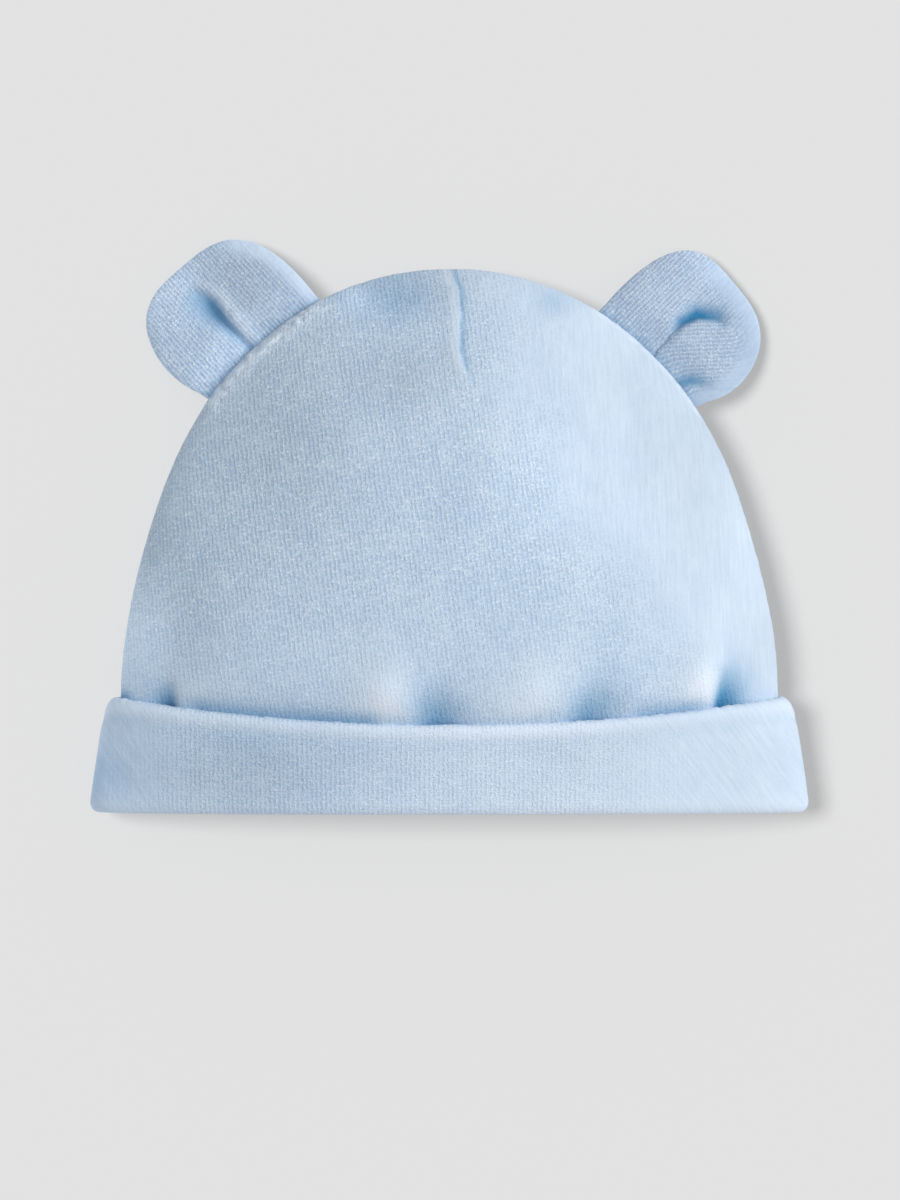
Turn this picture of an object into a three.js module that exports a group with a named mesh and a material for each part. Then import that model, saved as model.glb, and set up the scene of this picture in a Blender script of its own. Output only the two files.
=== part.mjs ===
// A baby's velour hat with two ears and a turned-up cuff, lying on its back.
// Millimetres. +X runs across the hat, +Y from its mouth to its top, +Z up from the surface it lies on.
// The hat is two cloth panels, front and back, sewn together along their outline. Each ear is two
// layers of cloth set into that seam, and the cuff is a band of doubled cloth folded up at the mouth.

import * as THREE from "three";

// Crown
const CROWN_WIDTH = 160.6; // seam to seam where the crown leaves the cuff
const MOUTH_WIDTH = 169; // seam to seam at the mouth
const CROWN_HEIGHT = 132.6; // fold of the cuff to the top of the crown
const CROWN_FULLNESS = 2.06; // 2 is an ellipse, more is squarer at the shoulders
const FLANK_DRAW = 0.018; // share of its width by which the crown draws in between shoulder and ear
const FLANK_PLACE = 0.38; // where it draws in most, as a share of the dome's height
const FLANK_REACH = 0.21; // and over how much of that height, either way
const SEAM_HEIGHT = 8; // side seam above the surface
const FRONT_RISE = 22; // how far the front panel puffs up above the seam
const MOUTH_RISE = 12; // the same at the mouth
const RISE_REACH = 40; // from the fold to where the front reaches its full rise
const EDGE_ROUND = 9; // how wide the back panel's rounded margin is
const CLOTH = 1.6; // one layer of velour
const GAP = 0.3; // between pieces that touch

// Cuff
const CUFF_DEPTH = 28.3; // fold to upper edge at the sides
const CUFF_DIP = 6.4; // how much lower the upper edge is in the middle
const CUFF_CLOTH = 3.2; // doubled cloth
const CUFF_EDGE_ROUND = 2.2; // height of the rounding along the upper edge
const CUFF_SETTLE = 10; // past the cuff, where the back panel comes down to the surface

// Relief of the front panel
const PUFF_RISE = 2.8; // roll of cloth that stands above the cuff's edge
const PUFF_REACH = 8; // from the cuff's edge to the top of that roll
const PUCKER_DEPTH = 6.5; // deepest pucker
const UNDER_CUFF = 4; // how far a pucker carries on below the cuff's edge
const DART_LENGTH = 29;
const DART_WIDTH = 3.6;
const DART_DEPTH = 1.5;
const DART_START = 2.2; // right of the middle, at the top seam
const DART_LEAN = 4.6; // further right at its lower end
const DART_FADE = 0.6; // share of its length after which it fades out
const SEAM_HOLD = 8; // how sharply the relief ends at the seam, as a power

// Ears
const EAR_WIDTH = 40.4; // widest ear, seam to seam
const EAR_LENGTH = 29; // longest ear, from the crown's seam to its tip
const EAR_CLOTH = 1.5;
const EAR_FRONT_LOFT = 3.7; // air between the front layer and the ear's own seam
const EAR_BACK_LOFT = 1.1;
const EAR_TIP_HEIGHT = 1.3; // ear's seam above the surface, at the tip
const EAR_ROOT_LOFT = 0.3; // share of the loft that is left where the ear is sewn in
const EAR_ROOT_REACH = 11; // from the crown to where the ear has its full loft
const EAR_FULLNESS = 3.2; // as CROWN_FULLNESS
const EAR_ROOT_SPREAD = 3; // how soon the ear leaves the crown's curve, as a power
const CREASE_DEPTH = 4; // deepest crease

// Puckers above the cuff and the bulges between them. across and width are shares of half the
// crown's width, length is a share of the dome's height, depth of the deepest pucker, and lean is
// how far one moves sideways for each millimetre up. A bulge has a negative depth.
const PUCKERS = [
  { across: -0.87, width: 0.055, length: 0.06, depth: 0.62, lean: 0.0 },
  { across: -0.21, width: 0.075, length: 0.22, depth: -0.2, lean: 0.0 },
  { across: -0.04, width: 0.085, length: 0.11, depth: 0.8, lean: 0.0 },
  { across: 0.23, width: 0.09, length: 0.2, depth: -0.22, lean: 0.3 },
  { across: 0.4, width: 0.075, length: 0.12, depth: 0.75, lean: 0.25 },
  { across: 0.74, width: 0.07, length: 0.12, depth: -0.3, lean: 0.1 },
  { across: 0.84, width: 0.048, length: 0.13, depth: 1.0, lean: 0.3 },
];

// Broad hollows near the top, where the gathered cloth gives. across is a share of half the crown's
// width, up of the dome's height, and width, length and depth are shares of the same as above.
const HOLLOWS = [
  { across: -0.13, up: 0.93, width: 0.12, length: 0.07, depth: 0.2 },
  { across: 0.36, up: 0.86, width: 0.07, length: 0.06, depth: 0.16 },
  { across: 0.55, up: 0.62, width: 0.05, length: 0.16, depth: 0.12 },
];

// The ears, by the outline's angle above the shoulder at the middle of the base and the base's half
// span, in degrees. width and length are shares of the widest and the longest ear, skew is how much
// wider the ear's outer half is, and slant is how much its tip slopes down outwards. A crease runs from its head to its foot, whose places are
// shares of half the ear's width and of its length. Its width is a share of half the ear's width
// and its depth of the deepest crease, and steep is how much sharper its inner side is.
const EARS = [
  {
    name: "ear_left",
    side: -1,
    angle: 54.6,
    span: 12.2,
    width: 1,
    length: 1,
    skew: 0.03,
    slant: -0.035,
    creases: [
      { head: [0.1, 0.7], foot: [0.13, 0.04], width: 0.16, depth: 0.9, steep: 2.4 },
      { head: [0.06, 0.68], foot: [0.1, 0.5], width: 0.18, depth: 0.4, steep: 1.6 },
    ],
  },
  {
    name: "ear_right",
    side: 1,
    angle: 52.1,
    span: 11.0,
    width: 0.95,
    length: 0.99,
    skew: 0.06,
    slant: 0.08,
    creases: [
      { head: [0.02, 0.46], foot: [0.0, 0.04], width: 0.16, depth: 0.65, steep: 1.2 },
      { head: [0.22, 0.68], foot: [0.02, 0.46], width: 0.2, depth: 1.0, steep: 1.5 },
      { head: [0.74, 0.2], foot: [0.6, 0.06], width: 0.14, depth: 0.35, steep: 1.0 },
    ],
  },
];

// How finely the cloth is divided
const FRONT_CELLS = { across: 44, skirt: 6, dome: 20 };
const BACK_CELLS = { across: 26, skirt: 5, dome: 12 };
const CUFF_CELLS = { half: 34, leg: 4, arc: 4 };
const EAR_CELLS = { front: { across: 14, up: 9 }, back: { across: 12, up: 7 } };
const ROW_CROWDING = 1.4; // how much closer the rows lie where the crown leaves the cuff

const HALF_CROWN = CROWN_WIDTH / 2;
const HALF_MOUTH = MOUTH_WIDTH / 2;
const DOME_HEIGHT = CROWN_HEIGHT - CUFF_DEPTH;
const CROWN_FOOT = CUFF_CLOTH + GAP; // the panels end just above the cuff's fold
const QUARTER = Math.PI / 2;
const NUDGE = 0.02; // step for slopes

const { clamp, degToRad, lerp, smoothstep } = THREE.MathUtils;

const bell = (t) => Math.exp(-t * t);

// The reach of a superellipse of radius 1 in the direction of an angle
function reach(angle, fullness) {
  const sum = Math.abs(Math.cos(angle)) ** fullness + Math.abs(Math.sin(angle)) ** fullness;
  return sum ** (-1 / fullness);
}

// A square's u from -1 to 1 and v from 0 to 1, spread over a half disc with its flat side at v = 0
function halfDisc(u, v) {
  const across = u * Math.sqrt(1 - (v * v) / 2);
  const up = v * Math.sqrt(1 - (u * u) / 2);
  return { out: Math.hypot(across, up), angle: Math.atan2(up, across) };
}

// What is left of the crown's width where its flanks draw in
function flank(y) {
  const up = Math.max(y - CUFF_DEPTH, 0) / DOME_HEIGHT;
  return 1 - FLANK_DRAW * bell((up - FLANK_PLACE) / FLANK_REACH);
}

// Half the crown's width below the shoulder, where it widens towards the mouth
function halfWidth(y) {
  return flank(y) * lerp(HALF_MOUTH, HALF_CROWN, clamp(y / CUFF_DEPTH, 0, 1));
}

// How near a place in plan is to the crown's outline: 0 in the middle, 1 on the seam
function outwards(x, y) {
  if (y <= CUFF_DEPTH) return Math.abs(x) / halfWidth(y);
  const across = Math.abs(x) / (HALF_CROWN * flank(y));
  const up = (y - CUFF_DEPTH) / DOME_HEIGHT;
  return (across ** CROWN_FULLNESS + up ** CROWN_FULLNESS) ** (1 / CROWN_FULLNESS);
}

// A place on the dome in plan, by its angle above the shoulder and its share of the way to the seam
function onDome(angle, share) {
  const r = share * reach(angle, CROWN_FULLNESS);
  const y = CUFF_DEPTH + DOME_HEIGHT * r * Math.sin(angle);
  return new THREE.Vector2(HALF_CROWN * flank(y) * r * Math.cos(angle), y);
}

// A place on the crown's outline, by its angle above the shoulder
function outline(angle) {
  return onDome(angle, 1);
}

// A place in plan on a crown panel. u runs from seam to seam and v from the mouth to the top, and
// the places crowd together towards the seam, where the cloth turns over.
function crownPlan(u, v, cells) {
  const skirt = cells.skirt / (cells.skirt + cells.dome);
  if (v <= skirt) {
    const y = lerp(CUFF_DEPTH, CROWN_FOOT, (1 - v / skirt) ** ROW_CROWDING);
    return new THREE.Vector2(halfWidth(y) * Math.sin(u * QUARTER), y);
  }
  const { out, angle } = halfDisc(u, ((v - skirt) / (1 - skirt)) ** ROW_CROWDING);
  return onDome(angle, Math.sin(Math.min(out, 1) * QUARTER));
}

// The cuff's upper edge, above the fold
function cuffEdge(x) {
  const t = clamp(x / HALF_CROWN, -1, 1);
  return CUFF_DEPTH - CUFF_DIP * (1 - t * t);
}

// What stands above the cuff's edge rises from nothing there, so that the cuff lies on plain cloth,
// and what is pulled in starts under the cuff.
function puckerRelief(x, y) {
  const up = y - cuffEdge(x);
  const free = Math.max(up, 0) / PUFF_REACH;
  let height = PUFF_RISE * free * Math.exp(1 - free);
  for (const p of PUCKERS) {
    const side = (x - p.across * HALF_CROWN - p.lean * Math.max(up, 0)) / (p.width * HALF_CROWN);
    const fade = up / (up > 0 ? p.length * DOME_HEIGHT : UNDER_CUFF);
    const start = p.depth < 0 ? smoothstep(free, 0, 1) : 1;
    height -= start * p.depth * PUCKER_DEPTH * bell(side) * bell(fade);
  }
  return height;
}

function hollowRelief(x, y) {
  const up = y - CUFF_DEPTH;
  let height = 0;
  for (const h of HOLLOWS) {
    const side = (x - h.across * HALF_CROWN) / (h.width * HALF_CROWN);
    const along = (up - h.up * DOME_HEIGHT) / (h.length * DOME_HEIGHT);
    height -= h.depth * PUCKER_DEPTH * bell(side) * bell(along);
  }
  return height;
}

// The sewn dart: a narrow valley that runs down from the top seam and fades out
function dartRelief(x, y) {
  const down = (CROWN_HEIGHT - y) / DART_LENGTH;
  const line = DART_START + DART_LEAN * down ** 3;
  const fade = 1 - smoothstep(down, DART_FADE, 1);
  return -DART_DEPTH * fade * bell((x - line) / DART_WIDTH);
}

function frontRise(y) {
  return lerp(MOUTH_RISE, FRONT_RISE, smoothstep(y, 0, RISE_REACH));
}

// The lowest point of the back panel: over the cuff near the mouth, and on the surface past it
function backFloor(y) {
  return (CUFF_CLOTH + GAP) * (1 - smoothstep(y, CUFF_DEPTH + GAP, CUFF_DEPTH + CUFF_SETTLE));
}

// A side of the crown: height gives the outer face over a place in plan, and field is 0 on that
// face and grows outwards, so its slope is the way that the cloth faces.
const FRONT = {
  facing: 1,
  relief(x, y) {
    const hold = 1 - outwards(x, y) ** SEAM_HOLD;
    return hold * (puckerRelief(x, y) + hollowRelief(x, y) + dartRelief(x, y));
  },
  height(x, y) {
    const r = Math.min(outwards(x, y), 1);
    return SEAM_HEIGHT + GAP / 2 + frontRise(y) * Math.sqrt(1 - r * r) + this.relief(x, y);
  },
  field(x, y, z) {
    const up = (z - SEAM_HEIGHT - GAP / 2 - this.relief(x, y)) / frontRise(y);
    return outwards(x, y) ** 2 + up ** 2;
  },
};

const BACK = {
  facing: -1,
  margin(x, y) {
    return clamp(1 - ((1 - outwards(x, y)) * HALF_CROWN) / EDGE_ROUND, 0, 1);
  },
  height(x, y) {
    const edge = this.margin(x, y);
    const top = SEAM_HEIGHT - GAP / 2;
    return top - (top - backFloor(y)) * Math.sqrt(1 - edge * edge);
  },
  field(x, y, z) {
    const top = SEAM_HEIGHT - GAP / 2;
    return this.margin(x, y) ** 2 + ((top - z) / (top - backFloor(y))) ** 2;
  },
};

// The way a surface faces at a point, from the slope of its field
function facing(side, p) {
  const slope = (axis) => {
    const ahead = p.clone();
    const behind = p.clone();
    ahead[axis] += NUDGE;
    behind[axis] -= NUDGE;
    return side.field(ahead.x, ahead.y, ahead.z) - side.field(behind.x, behind.y, behind.z);
  };
  return new THREE.Vector3(slope("x"), slope("y"), slope("z")).normalize();
}

function onSide(side, plan) {
  return new THREE.Vector3(plan.x, plan.y, side.height(plan.x, plan.y));
}

// A cloth of one thickness: a slab of cells whose outer and inner faces place() puts where they go
function cloth(acrossCells, upCells, place) {
  const slab = new THREE.BoxGeometry(2, 1, 1, acrossCells, upCells, 1);
  slab.translate(0, 0.5, 0.5);
  const at = slab.attributes.position;
  for (let i = 0; i < at.count; i++) {
    const p = place(at.getX(i), clamp(at.getY(i), 0, 1), at.getZ(i) > 0.5);
    at.setXYZ(i, p.x, p.y, p.z);
  }
  slab.computeVertexNormals();
  return slab;
}

// One crown panel. Across is mirrored on the back, so that its outer face looks down.
function crownPanel(side, cells) {
  return cloth(cells.across, cells.skirt + cells.dome, (u, v, outer) => {
    const plan = crownPlan(side.facing * u, v, cells);
    const p = onSide(side, plan);
    return outer ? p : p.addScaledVector(facing(side, p), -CLOTH);
  });
}

// A point on the ring round the mouth: turn runs 0 to 1, over the front and back under the back,
// and out is the distance from the crown's outer face.
function ringPoint(turn, out, y) {
  const front = turn < 0.5;
  const side = front ? FRONT : BACK;
  const u = front ? 1 - 4 * turn : 4 * turn - 3;
  const plan = new THREE.Vector2(halfWidth(y) * Math.sin(u * QUARTER), y);
  const smooth = front ? { ...FRONT, relief: () => 0 } : BACK;
  const p = onSide(smooth, plan);
  const away = facing(smooth, p).setY(0).normalize();
  if (Math.abs(u) === 1) p.z = SEAM_HEIGHT;
  return p.addScaledVector(away, out);
}

// The cuff's section: out from the crown's face, and up from the fold. It is a hook, with the
// crown's lower edge standing in it.
function cuffSection() {
  const inner = GAP;
  const outer = GAP + CUFF_CLOTH;
  const middle = (inner + outer) / 2;
  const neck = CUFF_DEPTH - CUFF_EDGE_ROUND;
  const points = [];
  for (let i = 0; i < CUFF_CELLS.leg; i++) {
    points.push([inner, lerp(CUFF_CLOTH, neck, i / CUFF_CELLS.leg)]);
  }
  for (let i = 0; i <= CUFF_CELLS.arc; i++) {
    const a = (Math.PI * i) / CUFF_CELLS.arc;
    points.push([
      middle - (CUFF_CLOTH / 2) * Math.cos(a),
      neck + CUFF_EDGE_ROUND * Math.sin(a),
    ]);
  }
  for (let i = 1; i < CUFF_CELLS.leg; i++) {
    points.push([outer, lerp(neck, CUFF_CLOTH, i / CUFF_CELLS.leg)]);
  }
  const foldHalf = (outer + CLOTH) / 2;
  for (let i = 0; i <= CUFF_CELLS.arc; i++) {
    const a = (Math.PI * i) / CUFF_CELLS.arc;
    points.push([outer - foldHalf + foldHalf * Math.cos(a), CUFF_CLOTH * (1 - Math.sin(a))]);
  }
  return points;
}

// The cuff: a ring whose texture coordinates say how far round and how far along the section
// each vertex is. Its upper edge is pulled down in the middle.
function cuffBand() {
  const section = cuffSection();
  const turns = 2 * CUFF_CELLS.half;
  const ring = new THREE.TorusGeometry(2, 1, section.length, turns);
  const at = ring.attributes.position;
  const spot = ring.attributes.uv;
  for (let i = 0; i < at.count; i++) {
    const turn = (Math.round(spot.getX(i) * turns) % turns) / turns;
    const [out, up] = section[Math.round(spot.getY(i) * section.length) % section.length];
    const edge = cuffEdge(ringPoint(turn, 0, up).x);
    const above = Math.max(up - CUFF_CLOTH, 0) / (CUFF_DEPTH - CUFF_CLOTH);
    const y = Math.min(up, CUFF_CLOTH) + above * (edge - CUFF_CLOTH);
    const p = ringPoint(turn, out, Math.max(y, 0));
    at.setXYZ(i, p.x, y, p.z);
  }
  ring.computeVertexNormals();
  return ring;
}

function earSize(ear) {
  return { width: ear.width * EAR_WIDTH, length: ear.length * EAR_LENGTH };
}

// How deep an ear's creases are at a place in its own plan, x outwards from the middle of the base
function creaseDepth(ear, x, y) {
  const { width, length } = earSize(ear);
  const spot = new THREE.Vector3(x, y, 0);
  let depth = 0;
  for (const c of ear.creases) {
    const place = ([a, b]) => new THREE.Vector3((a * width) / 2, b * length, 0);
    const line = new THREE.Line3(place(c.foot), place(c.head));
    const near = line.closestPointToPoint(spot, true, new THREE.Vector3());
    const run = line.delta(new THREE.Vector3()).normalize();
    const aside = spot.clone().sub(near);
    const inner = run.x * aside.y - run.y * aside.x > 0;
    const reachOut = (c.width * width) / 2 / (inner ? c.steep : 1);
    depth = Math.max(depth, c.depth * CREASE_DEPTH * bell(aside.length() / reachOut));
  }
  return depth;
}

// A place along the ear's root, a gap outside the crown's outline. turn is in degrees.
function rootPoint(turn) {
  const at = outline(degToRad(turn));
  const along = outline(degToRad(turn - NUDGE)).sub(outline(degToRad(turn + NUDGE))).normalize();
  return at.add(new THREE.Vector2(-along.y, along.x).multiplyScalar(GAP));
}

// An ear's place: the middle of its root, the way along the root and the way out from it
function earFrame(ear) {
  const inner = outline(degToRad(ear.angle + ear.span));
  const outer = outline(degToRad(ear.angle - ear.span));
  const along = outer.clone().sub(inner).normalize();
  const middle = inner.add(outer).divideScalar(2);
  return { middle, along, out: new THREE.Vector2(-along.y, along.x) };
}

// A place on an ear in its own plan: a rounded tongue, whose root is pulled to the crown's outline.
// It also gives how near the ear's seam it is.
function earPlan(ear, frame, u, v) {
  const { width, length } = earSize(ear);
  const { out, angle } = halfDisc(u, v);
  const near = Math.min(out, 1);
  const r = Math.sin(near * QUARTER) * reach(angle, EAR_FULLNESS);
  const wide = (width / 2) * (u > 0 ? 1 + ear.skew : 1 - ear.skew);
  const tongue = new THREE.Vector2(r * Math.cos(angle) * wide, r * Math.sin(angle) * length);
  const share = Math.sin(u * QUARTER);
  const root = rootPoint(ear.angle - ear.span * share).sub(frame.middle);
  const pull = new THREE.Vector2(root.dot(frame.along) - share * wide, root.dot(frame.out));
  tongue.y -= (ear.slant * tongue.x * tongue.y) / length;
  return { place: tongue.addScaledVector(pull, (1 - v) ** EAR_ROOT_SPREAD), near };
}

// One layer of an ear, in the hat's frame but always as the ear at +X. It lifts off the ear's own
// seam, less where it is sewn in, and its inner face is the outer one drawn in by the cloth.
function earLayer(ear, layer) {
  const frame = earFrame(ear);
  const { width, length } = earSize(ear);
  return cloth(layer.cells.across, layer.cells.up, (across, v, outer) => {
    const { place, near } = earPlan(ear, frame, layer.facing * across, v);
    const free = lerp(EAR_ROOT_LOFT, 1, smoothstep(place.y, 0, EAR_ROOT_REACH));
    const crease = layer.facing > 0 ? creaseDepth(ear, place.x, place.y) : 0;
    const depth = (outer ? EAR_CLOTH : 0) + free * (layer.loft - crease);
    const lift = GAP / 2 + depth * Math.cos(near * QUARTER);
    const middle = lerp(SEAM_HEIGHT, EAR_TIP_HEIGHT, smoothstep(place.y, 0, length));
    const drawn = outer ? 1 : 1 - EAR_CLOTH / (width / 2);
    const plan = frame.middle
      .clone()
      .addScaledVector(frame.along, drawn * place.x)
      .addScaledVector(frame.out, place.y > 0 ? drawn * place.y : place.y);
    return new THREE.Vector3(plan.x, plan.y, middle + layer.facing * lift);
  });
}

function velour(red, green, blue) {
  return new THREE.MeshStandardMaterial({
    color: new THREE.Color().setRGB(red, green, blue, THREE.SRGBColorSpace),
    roughness: 0.95,
    metalness: 0,
  });
}

function piece(name, geometry, material) {
  const mesh = new THREE.Mesh(geometry, material);
  mesh.name = name;
  return mesh;
}

const hat = new THREE.Group();
hat.add(piece("crown_front", crownPanel(FRONT, FRONT_CELLS), velour(0.74, 0.82, 0.89)));
hat.add(piece("crown_back", crownPanel(BACK, BACK_CELLS), velour(0.74, 0.82, 0.89)));
hat.add(piece("cuff", cuffBand(), velour(0.75, 0.83, 0.9)));
for (const ear of EARS) {
  const place = new THREE.Group();
  place.scale.x = ear.side;
  const front = { facing: 1, loft: EAR_FRONT_LOFT, cells: EAR_CELLS.front };
  const back = { facing: -1, loft: EAR_BACK_LOFT, cells: EAR_CELLS.back };
  place.add(piece(`${ear.name}_front`, earLayer(ear, front), velour(0.73, 0.81, 0.89)));
  place.add(piece(`${ear.name}_back`, earLayer(ear, back), velour(0.73, 0.81, 0.89)));
  hat.add(place);
}

// The origin is under the middle of the whole hat, on the surface that it lies on
const extent = new THREE.Box3().setFromObject(hat, true);
hat.position.set(-(extent.min.x + extent.max.x) / 2, -(extent.min.y + extent.max.y) / 2, -extent.min.z);

export default hat;
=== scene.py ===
"""A baby's velour hat with two ears and a turned-up cuff, lying on its back on a pale floor.

Metres. +X runs across the hat, +Y from its mouth to its top and +Z up from the floor. The crown's two
panels, the cuff and the ears are each a grid of cloth moved to its place. Heights "above the fold"
are measured along Y from the cuff's lower edge.
"""

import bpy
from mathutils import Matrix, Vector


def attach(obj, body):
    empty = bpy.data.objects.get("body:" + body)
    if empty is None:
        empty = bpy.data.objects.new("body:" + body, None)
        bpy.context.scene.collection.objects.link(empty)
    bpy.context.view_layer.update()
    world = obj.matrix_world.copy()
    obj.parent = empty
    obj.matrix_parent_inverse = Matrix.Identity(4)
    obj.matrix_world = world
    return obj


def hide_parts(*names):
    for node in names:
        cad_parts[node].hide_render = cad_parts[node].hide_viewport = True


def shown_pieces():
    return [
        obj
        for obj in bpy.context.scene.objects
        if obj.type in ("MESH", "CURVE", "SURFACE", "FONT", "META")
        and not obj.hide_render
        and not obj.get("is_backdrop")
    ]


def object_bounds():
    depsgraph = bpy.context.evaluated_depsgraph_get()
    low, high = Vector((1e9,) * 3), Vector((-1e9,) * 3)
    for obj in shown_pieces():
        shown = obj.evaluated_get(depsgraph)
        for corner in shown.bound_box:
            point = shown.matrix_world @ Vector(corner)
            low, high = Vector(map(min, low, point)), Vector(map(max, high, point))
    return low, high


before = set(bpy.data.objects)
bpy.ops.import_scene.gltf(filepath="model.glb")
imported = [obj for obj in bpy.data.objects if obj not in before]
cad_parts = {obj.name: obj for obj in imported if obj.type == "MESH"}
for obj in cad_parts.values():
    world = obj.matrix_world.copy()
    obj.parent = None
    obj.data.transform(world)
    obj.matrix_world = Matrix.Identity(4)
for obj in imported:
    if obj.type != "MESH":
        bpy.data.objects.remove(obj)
CAD_LOW, CAD_HIGH = (list(corner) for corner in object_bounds())

import math

import bmesh
import bpy
import numpy as np
from mathutils import Vector, noise

bl_info = {
    "name": "Baby Hat with Ears",
    "version": (1, 0, 0),
    "blender": (4, 5, 0),
    "location": "View3D > Sidebar > Hat",
    "description": "Makes a soft velour baby hat with two ears and a turned-up cuff",
    "category": "Object",
}

MM = 0.001
QUARTER = math.pi / 2

# The step over which a slope is measured, which is also how far the floor lies under the hat
NUDGE = 0.02 * MM

# Between the crown and the cuff's inner layer
GAP = 0.3 * MM

# The cuff's fold along the frame's Y, and the name of the cloth's own places
FOLD_Y = CAD_LOW[1]
UV_NAME = "cloth"

# What each vertex of the cloth tells its material: dent is how much painted shade darkens and blues it
# in folds, creases, puckers and hollows, light how much of the brushed pile's light colour it has, which
# is partly where the nap lies smooth and partly painted light and painted highlights, smooth how smooth
# the pile lies over the knit, and the last how much lighter it is, which is negative where it is darker:
# partly patches of nap and partly painted light and painted shade
MASKS = ("dent", "light", "smooth", "brush")


def table(columns, *rows):
    """A list of dicts, one for each row, whose keys are the columns' names."""
    return [dict(zip(columns.split(), row)) for row in rows]


# Puckers above the cuff and the bulges between them, which have a negative depth. across and the two
# widths, left and right of the middle, are shares of half the crown's width, length is a share of
# the dome's height, depth of the deepest pucker, lean is how far it moves right for each millimetre
# up, and the last column is how much painted shade darkens and blues the cloth in it. A bulge's
# height also gives it a painted highlight.
PUCKERS = table(
    "across left right length depth lean tint",
    (-0.985, 0.02, 0.025, 0.02, 0.25, 0.0, 0.6),
    (-0.832, 0.055, 0.016, 0.05, 0.6, -0.08, 0.78),
    (-0.79, 0.05, 0.06, 0.06, -0.3, 0.1, 0),
    (-0.19, 0.09, 0.07, 0.13, -0.72, 0.0, 0),
    (-0.04, 0.06, 0.085, 0.085, 0.5, -0.08, 0.68),
    (0.235, 0.1, 0.08, 0.13, -0.55, 0.2, 0),
    (0.405, 0.055, 0.085, 0.085, 0.5, 0.25, 0.63),
    (0.75, 0.07, 0.035, 0.1, -0.9, 0.1, 0),
    (0.806, 0.017, 0.072, 0.09, 1.0, 0.2, 1.0),
)

# Where the crown dives behind the cuff's edge: start and end as shares of half the crown's width,
# the depth in millimetres, and last how much painted shade darkens and blues the groove
EDGE_GROOVES = table(
    "start end depth tint",
    (-0.78, -0.22, 0.7, 0.5),
    (0.55, 0.75, 0.6, 0.42),
)

# Broad hollows and swells near the top. across is a share of half the crown's width, up of the
# dome's height, width and length of the same, depth of the deepest pucker, and the last column is how
# much painted shade darkens and blues the cloth in it.
HOLLOWS = table(
    "across up width length depth tint",
    (-0.17, 0.93, 0.13, 0.07, 0.42, 0.3),
    (-0.3, 0.93, 0.05, 0.05, -0.12, 0),
    (0.31, 0.92, 0.07, 0.04, 0.3, 0.25),
    (0.55, 0.62, 0.05, 0.16, 0.2, 0.05),
    (0.09, 0.975, 0.018, 0.025, -0.2, 0),
    (0.125, 0.985, 0.014, 0.02, 0.2, 0),
    (0.155, 0.97, 0.018, 0.02, -0.18, 0),
)

# Patches painted lighter or darker, partly where the pile lies another way and partly painted light and
# painted shade: places and half widths in millimetres, right of the middle and above the fold, and how
# much lighter they are
CROWN_PATCHES = table(
    "across up width length lighter",
    (-65, 112, 6, 16, 0.14),
    (-76, 42, 8, 17, 0.38),
    (-40, 91, 17, 24, -0.14),
    (-46, 122, 9, 6, -0.14),
    (-24, 125, 5, 4, 0.2),
    (-11, 106, 12, 9, -0.14),
    (21, 80, 13, 24, 0.12),
    (60, 86, 11, 25, -0.13),
    (-64, 50, 13, 20, -0.07),
    (45, 69, 12, 12, 0.05),
    (-4, 128, 12, 6, -0.08),
    (43, 106, 9, 9, -0.05),
    (77, 42, 7, 15, -0.1),
)
# The same on the cuff
CUFF_PATCHES = table(
    "across up width length lighter",
    (-84, 15, 6, 13, 0.27),
    (-50, 9, 20, 8, -0.13),
    (10, 11, 32, 10, 0.06),
    (74, 12, 13, 12, -0.05),
)

# Soft dents on the cuff: across as a share of half the mouth's width, up of the cuff's depth, width,
# height and depth in millimetres, and last how much painted shade darkens and blues the dent
CUFF_DENTS = table(
    "across up width height depth tint",
    (-0.965, 0.33, 5.0, 5.0, 0.8, 0.22),
    (0.95, 0.36, 4.5, 6.0, 0.5, 0.05),
    (-0.56, 0.55, 16.0, 6.0, 0.4, 0.14),
    (0.3, 0.42, 9.0, 5.0, 0.25, 0.05),
)

# The dart's line, from the top seam down and right of the middle
DART_DOWN, DART_ACROSS = MM * np.array([
    [0.0, 6.6, 13.7, 20.0, 23.6, 27.8],
    [-0.3, 1.9, 2.2, 1.9, 2.6, 4.3],
])

# The line past which the crown's pile lies smooth, on its right: above the fold and right of the middle
NAP_UP, NAP_ACROSS = MM * np.array([
    [20, 42, 70, 100, 133],
    [79, 56, 31, 18, 16],
])

# The waver that stitches give the dart's line, and the lengths of its short and its long waves
STITCH_WAVER = 0.16 * MM
STITCH_SHORT = 0.7 * MM
STITCH_LONG = 2.9 * MM

# The soft borders of the smooth pile and of its light, and the crown's waves on the back and at the seam
SMOOTH_BORDER = 36 * MM
LIGHT_BORDER = 58 * MM
BACK_WAVE = 0.25 * MM
SEAM_WAVE = 0.2 * MM

# How much each part of the crown adds to its masks: lighter right of the nap line, partly the nap and
# partly painted light, painted highlights on the bulges and the dart's swell, painted shade in the
# dart's trough, and how deep that trough is
CROWN_LOOK = {
    "nap_and_painted_light": 0.38,
    "bulge_painted_highlight": 1.55,
    "bulge_smooth": 0.3,
    "low_smooth": 0.24,
    "left_plain": 0.14,
    "rim_brush": 0.35,
    "back_smooth": 0.7,
    "back_light": 0.25,
    "dart_trough": 0.55,
    "dart_painted_shade": 0.36,
    "dart_painted_highlight": 0.6,
}

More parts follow.
